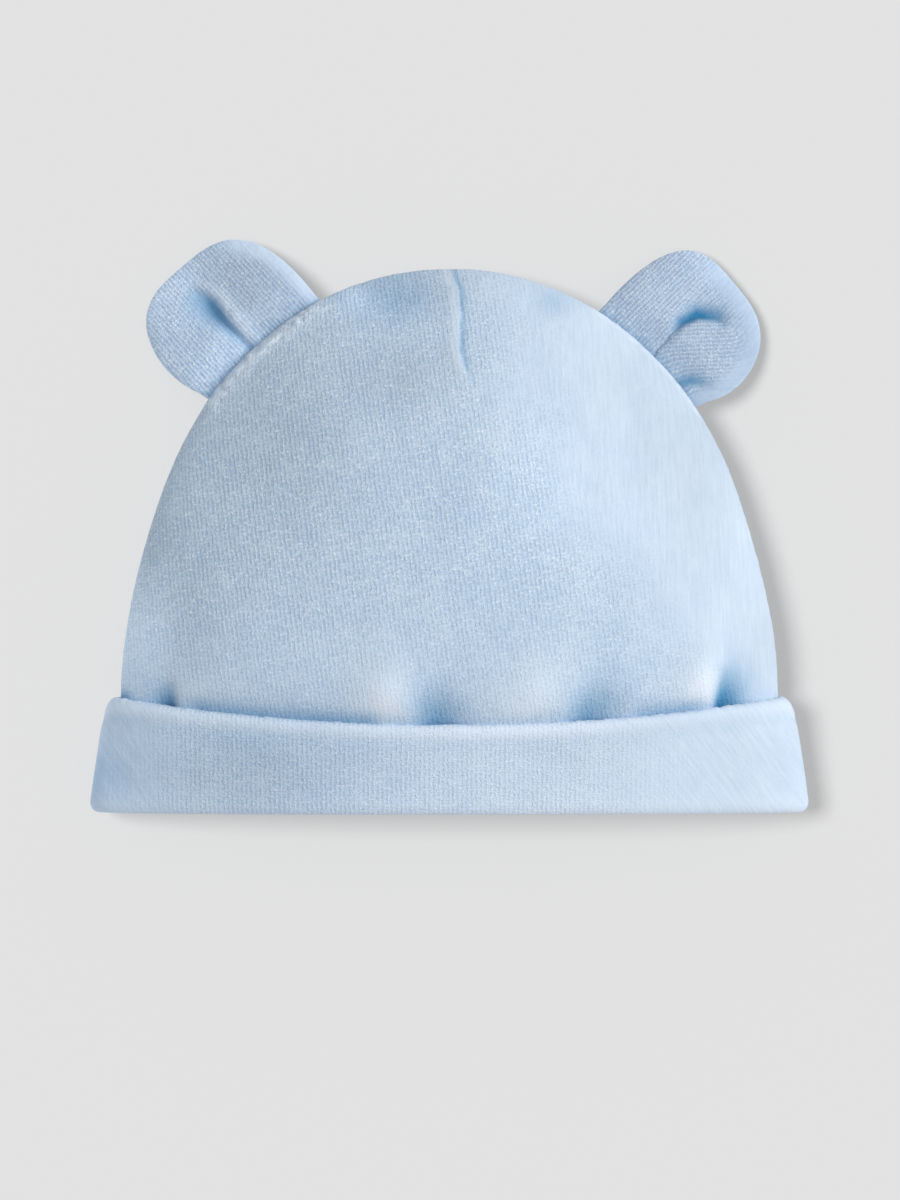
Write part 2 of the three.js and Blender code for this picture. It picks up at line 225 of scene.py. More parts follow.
# How far the cuff's waves, teeth and the line under its rolled edge stand out or in, and how much each
# part of the cuff adds to the masks: lighter on the right, partly the nap and partly painted light, a
# painted highlight along the rolled edge, lighter along the fold, and painted shade in the line under the
# rolled edge
CUFF_WAVE = 0.22 * MM
CUFF_TEETH = 0.12 * MM
CUFF_TEETH_DROP = 0.36 * MM
CUFF_LINE = 0.14 * MM
CUFF_LOOK = {
    "left_smooth": 0.8,
    "roll_smooth": 0.35,
    "right_nap_and_painted_light": 0.4,
    "band_painted_highlight": 0.45,
    "fold_light": 0.2,
    "band_painted_lightening": 0.07,
    "line_painted_shade": 0.07,
}

# The width of the cuff's band of cloth, how far its two layers are kept apart inside, and the share of
# its relief that it has under the hat
BAND_WIDTH = 0.058
LAYERS_APART = 0.1 * MM
RELIEF_UNDER = 0.3

# How much finer the knit is on the ears, and the size of the pile's unevenness
EAR_KNIT = 1.14
FUZZ_SIZE = 1.1 * MM

# The ears' cloth: its waves, the rolls beside the creases, the groove along the root, and how far the
# root is sunk into the crown's seam
EAR_WAVE = 0.35 * MM
EAR_ROLL = 1.1 * MM
ROOT_GROOVE = 0.9 * MM
ROOT_SUNK = 2.4 * MM

# How much each part of an ear adds to the masks: painted light on its rims and by its seam, painted
# highlights on the rolls beside the creases, painted shade along the root, and lighter towards the tip
EAR_LOOK = {
    "inner_rim_painted_light": 0.35,
    "outer_rim_painted_light": 0.12,
    "roll_painted_highlight": 0.45,
    "root_painted_shade": 0.65,
    "inner_rim_painted_lightening": 0.12,
    "tip_brush": 0.1,
    "seam_painted_lightening": 0.1,
}

# The sizes of the velour's marks: how far the knit drifts and in waves of what size, the tufts of
# pile, the patches and mottles where it lies another way, and the strokes that a hand leaves
DRIFT = 0.7 * MM
DRIFT_SIZE = 2.2 * MM
TUFT_SIZE = (0.42 * MM, 0.7 * MM)
PATCH_SIZE = 17 * MM
MOTTLE_SIZE = 4.5 * MM
STROKE_SIZE = (0.9 * MM, 9 * MM, 1)

# How much the marks add to the knit's grain, how much of it smooth pile hides, from what grain on the
# light tips show, which are partly painted highlights, and how much the marks add to the brushed colour,
# which is partly painted light, to the tone and to the bump
GRAIN = {"bead": 0.4, "tuft": 1.0, "lot": 0.22, "middle": 0.6, "hidden": 0.94}
TIPS = {"low": 0.13, "high": 0.38, "share": 0.85}
BRUSHED = {"share": 0.8, "tuft": 0.5}
TONE = {"middle": 0.48, "grain": 1.6, "patch": 0.8, "mottle": 0.45, "stroke": 1.0, "tuft": 0.15}
BUMP = {"tuft": 0.1, "stroke": 0.5, "mottle": 0.4}

# The three velours: how plainly the beads of pile and the knit's ribs show, the way in degrees of the
# faint strokes that a hand leaves where the pile lies smooth, and each one's own shift of colour
VELOURS = {
    "crown_velour": {"knit": 1.0, "ribs": 0.12, "strokes": -8, "cast": (1, 1, 1)},
    "cuff_velour": {"knit": 0.95, "ribs": 0.12, "strokes": 34, "cast": (1, 1, 1.01)},
    "ear_velour": {"knit": 1.1, "ribs": 0.17, "strokes": 0, "cast": (0.99, 1.01, 1.045)},
}

# The ears, as in the CAD source: angle and span in degrees round the crown's outline, width and
# length as shares of the largest, skew how much wider the outer half is and slant how the tip slopes.
# tuck is the share of the span by which the lower corner is sewn in, and turned is the way that the
# knit lies past the first crease, in degrees. The crown's seam rolls over the ear's root: roll is how
# high and rim how wide it is there, in millimetres, and pale how light. inside and outside are how much
# lighter the ear is painted towards the top of the hat and away from it, which is negative where painted
# shade darkens it.
# A crease is a line of places in the ear's own plan, in millimetres outwards from the middle of its
# root (x) and away from the root (y), with its depth and its painted shade there and its widths towards
# the top of the hat (inner) and away from it (outer). Its roll is how high the cloth rises beside it, and
# how much painted highlight it gets.
EARS = [
    {
        "name": "ear_left",
        "side": -1,
        "angle": 54.6,
        "span": 12.2,
        "width": 1.0,
        "length": 1.0,
        "skew": 0.03,
        "slant": -0.035,
        "tuck": 0.12,
        "turned": 0.0,
        "roll": 0.6,
        "rim": 2.0,
        "pale": 0.5,
        "inside": -0.15,
        "outside": 0.05,
        "creases": [
            {
                "x": [1.3, 1.35, 1.3, 0.9, 0.9, 2.0, 3.2],
                "y": [-2.0, 6.0, 10.8, 14.2, 17.0, 20.5, 24.5],
                "depth": [0.5, 0.55, 0.8, 1.0, 0.9, 0.5, 0.0],
                "tint": [0.4, 0.45, 0.7, 0.8, 0.75, 0.5, 0.0],
                "inner": [0.6, 0.6, 0.7, 0.8, 1.2, 1.8, 2.5],
                "outer": [1.0, 1.3, 2.6, 4.3, 5.2, 5.2, 4.2],
                "roll": 1.0,
            },
        ],
    },
    {
        "name": "ear_right",
        "side": 1,
        "angle": 52.1,
        "span": 11.0,
        "width": 0.95,
        "length": 0.99,
        "skew": 0.06,
        "slant": 0.08,
        "tuck": 0.14,
        "turned": 42.0,
        "roll": 0.2,
        "rim": 0.7,
        "pale": 0.2,
        "inside": -0.15,
        "outside": -0.2,
        "creases": [
            {
                "x": [-0.2, -0.3, -0.8, -1.0, 0.4, 4.0, 7.5],
                "y": [-2.0, 3.0, 8.6, 12.2, 16.0, 19.2, 19.7],
                "depth": [0.25, 0.25, 0.35, 0.9, 1.0, 0.7, 0.0],
                "tint": [0.15, 0.15, 0.25, 0.95, 1.15, 0.75, 0.0],
                "inner": [0.9, 0.9, 1.1, 2.0, 2.7, 2.9, 2.2],
                "outer": [0.7, 0.7, 0.8, 0.9, 0.9, 1.0, 1.3],
                "roll": 0.0,
            },
            {
                "x": [7.5, 10.5, 16.0],
                "y": [1.0, 4.0, 7.2],
                "depth": [0.4, 0.35, 0.0],
                "tint": [0.6, 0.75, 0.0],
                "inner": [2.0, 1.7, 1.3],
                "outer": [1.2, 1.2, 1.2],
                "roll": 0.0,
            },
        ],
    },
]


def length_prop(name, description, default):
    return bpy.props.FloatProperty(
        name=name, description=description, default=default, min=0.0, unit="LENGTH", precision=5
    )


def factor_prop(name, description, default):
    return bpy.props.FloatProperty(
        name=name, description=description, default=default, min=0.0, max=1.0, subtype="FACTOR"
    )


def number_prop(name, description, default, lowest=0.0, highest=100.0, unit="NONE"):
    return bpy.props.FloatProperty(
        name=name, description=description, default=default, min=lowest, max=highest, unit=unit
    )


def colour_prop(name, description, default):
    return bpy.props.FloatVectorProperty(
        name=name, description=description, default=default, size=3, min=0.0, max=1.0, subtype="COLOR"
    )


class CrownSettings(bpy.types.PropertyGroup):
    """Sizes of the crown's two panels."""

    width: length_prop("Width", "Seam to seam where the crown leaves the cuff", 160.6 * MM)
    mouth_width: length_prop("Mouth width", "Seam to seam at the mouth", 169 * MM)
    height: length_prop("Height", "Fold of the cuff to the top of the crown", 132.6 * MM)
    fullness: number_prop("Fullness", "2 is an ellipse and more is squarer", 2.06, lowest=1.5, highest=4.0)
    flank_draw: factor_prop("Flank draw", "How far the flanks draw in, as a share of the width", 0.018)
    flank_place: factor_prop("Flank place", "How far up the dome they draw in most", 0.38)
    flank_reach: factor_prop("Flank reach", "How far up and down from there they draw in", 0.21)
    seam_height: length_prop("Seam height", "Side seam above the floor", 8 * MM)
    front_rise: length_prop("Rise", "How far the front panel puffs up above the seam", 22 * MM)
    mouth_rise: length_prop("Rise at the mouth", "The same at the mouth", 12 * MM)
    rise_reach: length_prop("Rise reach", "From the fold to where the front has its full rise", 40 * MM)
    edge_round: length_prop("Back margin", "Width of the back panel's rounded margin", 9 * MM)
    pucker_depth: length_prop("Pucker depth", "Depth of a deep pucker", 3.6 * MM)
    edge_lift: length_prop("Edge lift", "How high the crown stands at the cuff's edge", 2.5 * MM)
    puff_rise: length_prop("Puff rise", "Height of the roll of cloth above the cuff's edge", 1.6 * MM)
    puff_reach: length_prop("Puff reach", "From the cuff's edge to the top of that roll", 9 * MM)
    dart_ridge: length_prop("Dart ridge", "Height of the cloth's step along the dart", 0.8 * MM)
    seam_tuck: length_prop("Seam tuck", "How far the seam is pulled in", 0.8 * MM)
    waviness: length_prop("Waviness", "Height of the cloth's slow waves", 0.42 * MM)
    fuzz: length_prop("Fuzz", "Height of the pile's unevenness", 0.09 * MM)


class CuffSettings(bpy.types.PropertyGroup):
    """Sizes of the turned-up cuff."""

    depth: length_prop("Depth", "Fold to upper edge at the sides", 28.3 * MM)
    dip: length_prop("Dip", "How much lower the upper edge is in the middle", 6.4 * MM)
    doubled: length_prop("Doubled cloth", "Thickness of the doubled cloth", 3.2 * MM)
    edge_round: length_prop("Edge round", "Height of the rounding along the upper edge", 2.2 * MM)
    roll: length_prop("Roll", "How far the upper edge's roll stands proud", 0.28 * MM)
    corner: length_prop("Corner", "How far the upper corners are rounded down", 4.2 * MM)


class EarSettings(bpy.types.PropertyGroup):
    """Sizes of the two ears."""

    width: length_prop("Width", "Widest ear, seam to seam", 40.4 * MM)
    length: length_prop("Length", "Longest ear, from the crown's seam to its tip", 29 * MM)
    front_loft: length_prop("Front loft", "Height of the front layer above the ear's seam", 4.0 * MM)
    back_loft: length_prop("Back loft", "Depth of the back layer below the ear's seam", 2.5 * MM)
    tip_height: length_prop("Tip height", "Ear's seam above the floor at the tip", 2.9 * MM)
    fullness: number_prop("Fullness", "2 is an ellipse and more is squarer", 3.2, lowest=1.5, highest=5.0)
    crease_depth: length_prop("Crease depth", "Depth of the deepest crease", 2.7 * MM)


class VelourSettings(bpy.types.PropertyGroup):
    """The cloth's thickness, knit and colours."""

    thickness: length_prop("Thickness", "One layer of velour with its pile", 1.6 * MM)
    wale_pitch: length_prop("Wale pitch", "Distance between the knit's upright ribs", 1.12 * MM)
    course_pitch: length_prop("Course pitch", "Distance between the knit's rows", 0.78 * MM)
    lean: number_prop("Lean", "How far the ribs lean to the left", math.radians(8), unit="ROTATION")
    pile: colour_prop("Pile", "Colour of the pile", (0.612, 0.75, 0.895))
    # The tips are partly the pile's own lighter tips and partly painted highlights on the knit's beads
    tips: colour_prop("Tips", "Colour of the pile's light tips", (0.85, 0.93, 1.0))
    # The brushed colour is where the nap lies smooth, and also stands in for painted light and painted
    # highlights
    brushed: colour_prop("Brushed", "Colour of the pile that lies smooth and light", (0.79, 0.86, 0.955))
    depths: colour_prop("Depths", "Colour between the ribs", (0.43, 0.572, 0.755))
    # This colour is painted shade: it darkens and blues the cloth in folds, creases and puckers
    painted_fold_shade: colour_prop("Folds", "Tint of the cloth deep in a fold", (0.10, 0.40, 0.60))
    sheen: factor_prop("Sheen", "Strength of the pile's sheen", 0.3)


class StageSettings(bpy.types.PropertyGroup):
    """The floor, the lights and the camera."""

    floor: colour_prop("Floor", "Colour of the floor", (0.2, 0.2, 0.2))
    glow: number_prop("Glow", "Strength of the floor's own pale glow", 0.36)
    key_colour: colour_prop("Key colour", "Colour of the key light", (1.0, 0.98, 0.96))
    key: number_prop("Key", "Strength of the key light", 11.0, unit="POWER")
    fill: number_prop("Fill", "Strength of the light all round", 0.6)
    floor_sun: number_prop("Floor light", "Strength of the light that casts the hat's shadow", 5.2)
    lens: length_prop("Lens", "Focal length of the camera's lens", 120 * MM)
    covered: length_prop("Covered width", "Width of floor that the picture covers", 292.5 * MM)


def bell(t):
    """1 at 0, and nearly 0 two either side of it."""
    return np.exp(-t * t)


def mix(a, b, t):
    """a where t is 0 and b where it is 1."""
    return a + (b - a) * t


def ease(t):
    """0 to 1 with a soft start and a soft end."""
    t = np.clip(t, 0, 1)
    return t * t * (3 - 2 * t)


def rises(x, start, run):
    """0 up to a start and 1 a run past it, both in millimetres, with a soft change between."""
    return ease((x - start * MM) / (run * MM))


def hump(x, middle, width):
    """1 at a middle and nearly 0 two widths away from it, both in millimetres."""
    return bell((x - middle * MM) / (width * MM))


def spread(t, crowding=0.25):
    """Spreads -1 to 1 so that places crowd less in the middle, once a sine has been taken of them."""
    return t * (1 - crowding) + crowding * t**3


def reach(angle, fullness):
    """The reach of a superellipse of radius 1 in the direction of an angle."""
    total = np.abs(np.cos(angle)) ** fullness + np.abs(np.sin(angle)) ** fullness
    return total ** (-1 / fullness)


def half_disc(u, v):
    """A square's u from -1 to 1 and v from 0 to 1 as distance and angle on a half disc."""
    across = u * np.sqrt(1 - v * v / 2)
    up = v * np.sqrt(1 - u * u / 2)
    return np.minimum(np.hypot(across, up), 1), np.arctan2(up, across)


def spots(rows, x, y, key):
    """The sum of a table's soft round spots, each with its row's key at the middle."""
    total = np.zeros_like(x)
    for row in rows:
        side = (x - row["across"]) / row["width"]
        total = total + row[key] * bell(side) * bell((y - row["up"]) / row["length"])
    return total


def waves(x, y, size, seed):
    """Smooth noise over places in plan, about -1 to 1, with waves of a size."""
    return np.array([noise.noise(Vector((a / size, b / size, seed))) for a, b in zip(x, y)])


class HatShape:
    """The hat's faces as functions of a place in plan, x across and y above the fold."""

    def __init__(self, scene):
        self.crown = scene.hat_crown
        self.cuff = scene.hat_cuff
        self.ears = scene.hat_ears
        self.cloth = scene.hat_velour.thickness
        self.half = self.crown.width / 2
        self.shoulder = self.cuff.depth
        self.dome = self.crown.height - self.cuff.depth

    def flank(self, y):
        """What is left of the crown's width where its flanks draw in."""
        up = np.maximum(y - self.shoulder, 0) / self.dome
        return 1 - self.crown.flank_draw * bell((up - self.crown.flank_place) / self.crown.flank_reach)

    def half_width(self, y):
        """Half the crown's width below the shoulder, where it widens towards the mouth."""
        widening = mix(self.crown.mouth_width / 2, self.half, np.clip(y / self.shoulder, 0, 1))
        return self.flank(y) * widening

    def outwards(self, x, y):
        """How near a place is to the crown's outline: 0 in the middle and 1 on the seam."""
        across = np.abs(x) / (self.half * self.flank(y))
        up = np.maximum(y - self.shoulder, 0) / self.dome
        n = self.crown.fullness
        return np.where(
            y <= self.shoulder,
            np.abs(x) / self.half_width(y),
            (across**n + up**n) ** (1 / n),
        )

    def on_dome(self, angle, share=1.0):
        """A place on the crown's dome, by its angle above the shoulder and its share of the way out."""
        r = reach(angle, self.crown.fullness) * share
        y = self.shoulder + self.dome * r * np.sin(angle)
        return self.half * self.flank(y) * r * np.cos(angle), y

    def plan(self, u, v, skirt):
        """A place on a panel. u runs from seam to seam and v from the mouth to the top, and the first
        share of v, skirt, is the part below the shoulder."""
        u = spread(u)
        crowding = 0.6
        low = np.clip(v / skirt, 0, 1) ** crowding
        y_low = mix(self.cuff.doubled, self.shoulder, low)
        x_low = self.half_width(y_low) * np.sin(u * QUARTER)
        out, angle = half_disc(u, spread(np.clip((v - skirt) / (1 - skirt), 0, 1)))
        x, y = self.on_dome(angle, np.sin(out * QUARTER))
        return np.where(v <= skirt, x_low, x), np.where(v <= skirt, y_low, y)

    def cuff_edge(self, x):
        """The cuff's upper edge, above the fold."""
        t = np.clip(x / self.half, -1, 1)
        return self.cuff.depth - self.cuff.dip * (1 - t * t)

    def puckers(self, x, y):
        """The height of the cloth above the cuff's edge, the painted shade in the puckers and along the
        grooves, and the painted highlight on its bulges."""
        up = y - self.cuff_edge(x)
        over = np.maximum(up, 0)
        free = over / self.crown.puff_reach
        height = self.crown.puff_rise * free * np.exp(1 - free)
        height = height + self.crown.edge_lift * rises(up, -2.4, 1.6) * hump(over, 0, 14)
        behind_edge, painted_shade_behind = 4 * MM, 3 * MM
        painted_shade_length, painted_shade_narrowing = 0.85, 0.95
        tint = np.zeros_like(x)
        light = np.zeros_like(x)
        for p in PUCKERS:
            side = (x - p["across"] * self.half - p["lean"] * over) / self.half
            side = side / np.where(side < 0, p["left"], p["right"])
            length = p["length"] * self.dome
            fade = up / np.where(up > 0, length, behind_edge)
            start = ease(free) if p["depth"] < 0 else 1
            height = height - start * p["depth"] * self.crown.pucker_depth * bell(side) * bell(fade)
            # Painted shade: darkens and blues the cloth in the pucker near the cuff's edge
            near = bell(over / (painted_shade_length * length)) * (up > -painted_shade_behind)
            tint = np.maximum(tint, p["tint"] * bell(side * painted_shade_narrowing) * near)
            # A bulge's painted highlight, by its height
            light = light + np.maximum(-p["depth"], 0) * bell(side) * bell(fade) * ease(2 * free)
        soft_end = 6 * MM
        for g in EDGE_GROOVES:
            past_start = (x - g["start"] * self.half) / soft_end
            before_end = (g["end"] * self.half - x) / soft_end
            along = ease(past_start + 0.5) * ease(before_end + 0.5)
            height = height - g["depth"] * MM * along * hump(up, 0, 2.6)
            # Painted shade along the groove
            tint = np.maximum(tint, g["tint"] * along * hump(up, 0, 2.7))
        return height, tint, light

    def hollows(self, x, y):
        """The height of the broad hollows and swells, and the painted shade in them."""
        place = x / self.half, (y - self.shoulder) / self.dome
        depth = self.crown.pucker_depth * spots(HOLLOWS, *place, "depth")
        return -depth, spots(HOLLOWS, *place, "tint")

    def dart_side(self, x, y):
        """How far right of the dart's line a place is, and how plain the dart is there."""
        down = self.crown.height - y
        stitches = STITCH_WAVER * np.sin(down / STITCH_SHORT) * np.sin(down / STITCH_LONG)
        line = np.interp(down, DART_DOWN, DART_ACROSS) + stitches
        end = DART_DOWN[-1]
        fade_start, fade_run = 0.8 * end, 0.3 * end
        return x - line, 1 - ease((down - fade_start) / fade_run)

    def dart(self, x, y):
        """The sewn dart: the cloth swells up to its line from the left, drops at it and comes back
        slowly on the right. Gives the height, the painted shade in its trough and the painted
        highlight on its swell."""
        side, plain = self.dart_side(x, y)
        trough = -CROWN_LOOK["dart_trough"] * hump(side, 0.6, 1.5)
        height = np.where(side < 0, hump(side, 0, 2.5), mix(1, trough, rises(side, 0, 0.6)))
        # Painted shade in the trough right of the line and a painted highlight on the swell left of it
        tint = CROWN_LOOK["dart_painted_shade"] * hump(side, 1.0, 0.8)
        light = CROWN_LOOK["dart_painted_highlight"] * hump(side, -0.9, 1.1)
        return plain * self.crown.dart_ridge * height, plain * tint, plain * light

    def nap(self, x, y, border):
        """1 right of the slanting line where the crown's pile lies smooth, with a soft border."""
        line = np.interp(y, NAP_UP, NAP_ACROSS)
        uneven = 9 * MM * waves(x, y, 13 * MM, seed=1.7) + 3 * MM * waves(x, y, 4 * MM, seed=7.7)
        return ease((x - line + uneven) / border + 0.5)

    def off_seam(self, x, y):
        """1 on the crown's panels and 0 on their seam."""
        return 1 - np.minimum(self.outwards(x, y), 1) ** 8

    def front_look(self, x, y):
        """The front panel's relief and its masks."""
        puckers, pucker_painted_shade, bulges = self.puckers(x, y)
        hollows, hollow_painted_shade = self.hollows(x, y)
        dart, dart_painted_shade, painted_swell_highlight = self.dart(x, y)
        roll, rim = self.seam_rolls(x, y)
        # Painted shade in the puckers, the dart's trough, the grooves and the hollows
        dent = np.clip(np.maximum(pucker_painted_shade, dart_painted_shade) + hollow_painted_shade, 0, 1)
        # Lighter right of the nap line, partly the nap and partly painted light, and painted highlights on
        # the bulges
        light = CROWN_LOOK["nap_and_painted_light"] * self.nap(x, y, LIGHT_BORDER) + CROWN_LOOK["bulge_painted_highlight"] * bulges
        low = 1 - rises(y, 26, 38)
        plainest = rises(-x, 20, 25) * (1 - low)
        smooth = self.nap(x, y, SMOOTH_BORDER) + painted_swell_highlight + CROWN_LOOK["bulge_smooth"] * bulges
        smooth = smooth + CROWN_LOOK["low_smooth"] * low - CROWN_LOOK["left_plain"] * plainest
        masks = {
            "dent": dent,
            # The dart's swell adds its painted highlight, and the seam's rim its lightness
            "light": np.clip(light + painted_swell_highlight + rim, 0, 1),
            "smooth": np.clip(smooth, -CROWN_LOOK["left_plain"], 1),
            # Patches painted lighter or darker, partly nap and partly painted light and painted shade
            "brush": spots(CROWN_PATCHES, x / MM, y / MM, "lighter") + CROWN_LOOK["rim_brush"] * rim,
        }
        return self.off_seam(x, y) * (puckers + hollows + dart) + roll, masks

    def ear_frame(self, ear):
        """The middle of an ear's root, the way along the root and the way out from it."""
        inner = np.array(self.on_dome(math.radians(ear["angle"] + ear["span"])))
        outer = np.array(self.on_dome(math.radians(ear["angle"] - ear["span"])))
        along = (outer - inner) / np.linalg.norm(outer - inner)
        return (inner + outer) / 2, along, np.array([-along[1], along[0]])

    def root_line(self, ear, along_root):
        """How far out from the line between an ear's corners the crown's outline bulges."""
        middle, along, out_way = self.ear_frame(ear)
        past_ends, places = 1.6, 65
        angles = np.radians(ear["angle"] + ear["span"] * np.linspace(past_ends, -past_ends, places))
        on_outline = np.stack(self.on_dome(angles), -1) - middle
        return np.interp(along_root, on_outline @ along, on_outline @ out_way)

    def seam_rolls(self, x, y):
        """The crown's seam where it rolls over the ears' roots: its height and how light it is."""
        roll = np.zeros_like(x)
        light = np.zeros_like(x)
        tufts = waves(x, y, 1.7 * MM, seed=9.1)
        higher, lighter = 1.2 * tufts, 1.4 * tufts
        for ear in EARS:
            middle, along, out_way = self.ear_frame(ear)
            from_middle = np.stack([ear["side"] * x, y], -1) - middle
            along_root = from_middle @ along
            out = from_middle @ out_way - self.root_line(ear, along_root)
            half = ear["width"] * self.ears.width / 2 + 1 * MM
            ends = rises(half - np.abs(along_root), 0, 4)
            wide = ear["rim"] * MM
            across = bell((out + wide) / wide) * ends
            roll = roll + ear["roll"] * MM * across * (1 + higher)
            light = light + ear["pale"] * across * (1 + lighter)
        return roll, light

    def seam_shift(self, x, y, z):
        """How far out the panels' cloth goes near their seam, which is pulled in."""
        above = z - self.crown.seam_height
        uneven = SEAM_WAVE * waves(x, y, 19 * MM, seed=3.1) * hump(above, 0, 6)
        return uneven - self.crown.seam_tuck * hump(above, 0, 1.1)

    def draw_in(self, u, v, skirt):
        """A place on the front panel, as plan gives it, with the grid's columns drawn to the dart."""
        step, pull = 0.01, 0.6
        x, y = self.plan(u, v, skirt)
        right, left = (self.plan(np.clip(u + way * step, -1, 1), v, skirt)[0] for way in (1, -1))
        rate = np.maximum((right - left) / (2 * step), 1 * MM)
        side, plain = self.dart_side(x, y)
        drawn = pull * plain * side / rate * hump(side, 0, 5)
        return self.plan(u - drawn, v, skirt)

    def rise(self, y):
        """How far the front panel stands above its seam in the middle."""
        return mix(self.crown.mouth_rise, self.crown.front_rise, ease(y / self.crown.rise_reach))

    def front_height(self, x, y, relief=0.0):
        """The front panel's height above the floor."""
        r = np.minimum(self.outwards(x, y), 1)
        return self.crown.seam_height + self.rise(y) * np.sqrt(1 - r * r) + relief

    def margin(self, x, y):
        """0 where the back panel lies flat, and rising to 1 over its rounded margin."""
        return np.clip(1 - (1 - self.outwards(x, y)) * self.half / self.crown.edge_round, 0, 1)

    def back_floor(self, y):
        """The lowest point of the back panel: over the cuff near the mouth, and on the floor past it."""
        return (self.cuff.doubled + GAP) * (1 - rises(y - self.shoulder, 0, 10))

    def back_height(self, x, y):
        """The back panel's height above the floor."""
        edge = self.margin(x, y)
        top = self.crown.seam_height
        return top - (top - self.back_floor(y)) * np.sqrt(1 - edge * edge)

    def outward_way(self, x, y):
        """The way out from the crown's outline, in plan."""
        dx = self.outwards(x + NUDGE, y) - self.outwards(x - NUDGE, y)
        dy = self.outwards(x, y + NUDGE) - self.outwards(x, y - NUDGE)
        smallest = 1e-12
        size = np.maximum(np.hypot(dx, dy), smallest)
        return dx / size, dy / size


def run_to(height_at, start, end, steps=24, steepest=4):
    """How far it is along the cloth from a start to an end, by the cloth's height between them."""
    run = np.zeros_like(end)
    for i in range(steps):
        at = start + (i + 0.5) / steps * (end - start)
        slope = (height_at(at + NUDGE) - height_at(at - NUDGE)) / (2 * NUDGE)
        run += np.sqrt(1 + np.minimum(slope**2, steepest**2)) * (end - start) / steps
    return run


def run_across(height, x, y):
    """How far along the cloth a place is from the middle."""
    return run_to(lambda at: height(at, y), 0, x)


def run_up(height, y, start):
    """How far along the cloth's middle line a place is from a start."""
    return run_to(lambda at: height(0 * y, at), start, y)


def turned(x, y, angle):
    """Places turned clockwise by an angle, or by one for each."""
    return np.stack([x * np.cos(angle) + y * np.sin(angle), y * np.cos(angle) - x * np.sin(angle)], -1)


def lay_grid(bm, cells, place):
    """Adds a grid of cells and moves each vertex to where place puts it. place takes u from -1 to 1
    and v from 0 to 1, and gives the places, the cloth's own places and the masks."""
    if not bm.loops.layers.uv:
        bm.loops.layers.uv.new(UV_NAME)
        for name in MASKS:
            bm.verts.layers.float.new(name)
    uv_layer = bm.loops.layers.uv[UV_NAME]
    mask_layers = {name: bm.verts.layers.float[name] for name in MASKS}
    made = bmesh.ops.create_grid(bm, x_segments=cells[0], y_segments=cells[1], size=1)["verts"]
    u = np.array([v.co.x for v in made])
    v = np.array([v.co.y for v in made]) / 2 + 0.5
    points, on_cloth, masks = place(u, np.clip(v, 0, 1))
    number = {}
    for i, vertex in enumerate(made):
        vertex.co = points[i]
        for name, values in masks.items():
            vertex[mask_layers[name]] = values[i]
        number[vertex] = i
    for face in {f for vertex in made for f in vertex.link_faces}:
        face.smooth = True
        for loop in face.loops:
            loop[uv_layer].uv = on_cloth[number[loop.vert]]


def new_piece(name, bm, material):
    """Turns a bmesh into a piece of the hat."""
    mesh = bpy.data.meshes.new(name)
    bm.to_mesh(mesh)
    bm.free()
    piece = bpy.data.objects.new(name, mesh)
    bpy.context.scene.collection.objects.link(piece)
    mesh.materials.append(material)
    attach(piece, "root")
    return piece


def thicken(piece, thickness):
    """Gives a piece the thickness of its cloth, on its inner side."""
    solid = piece.modifiers.new("thickness", "SOLIDIFY")
    solid.thickness = thickness
    solid.offset = -1
    solid.use_even_offset = False
    solid.use_quality_normals = True


def in_place(x, y, z):
    """Places in the hat's frame, from places above the fold. Nothing goes below the floor."""
    return np.stack([x, y + FOLD_Y, np.maximum(z, 0)], axis=-1)


class Value:
    """A shader value. Arithmetic on it adds Math nodes to its material."""

    def __init__(self, shader, socket):
        self.shader = shader
        self.socket = socket

    def __add__(self, other):
        return self.shader.math("ADD", self, other)

    __radd__ = __add__

    def __mul__(self, other):
        return self.shader.math("MULTIPLY", self, other)

    __rmul__ = __mul__

    def __sub__(self, other):
        return self.shader.math("SUBTRACT", self, other)

    def __rsub__(self, other):
        return self.shader.math("SUBTRACT", other, self)


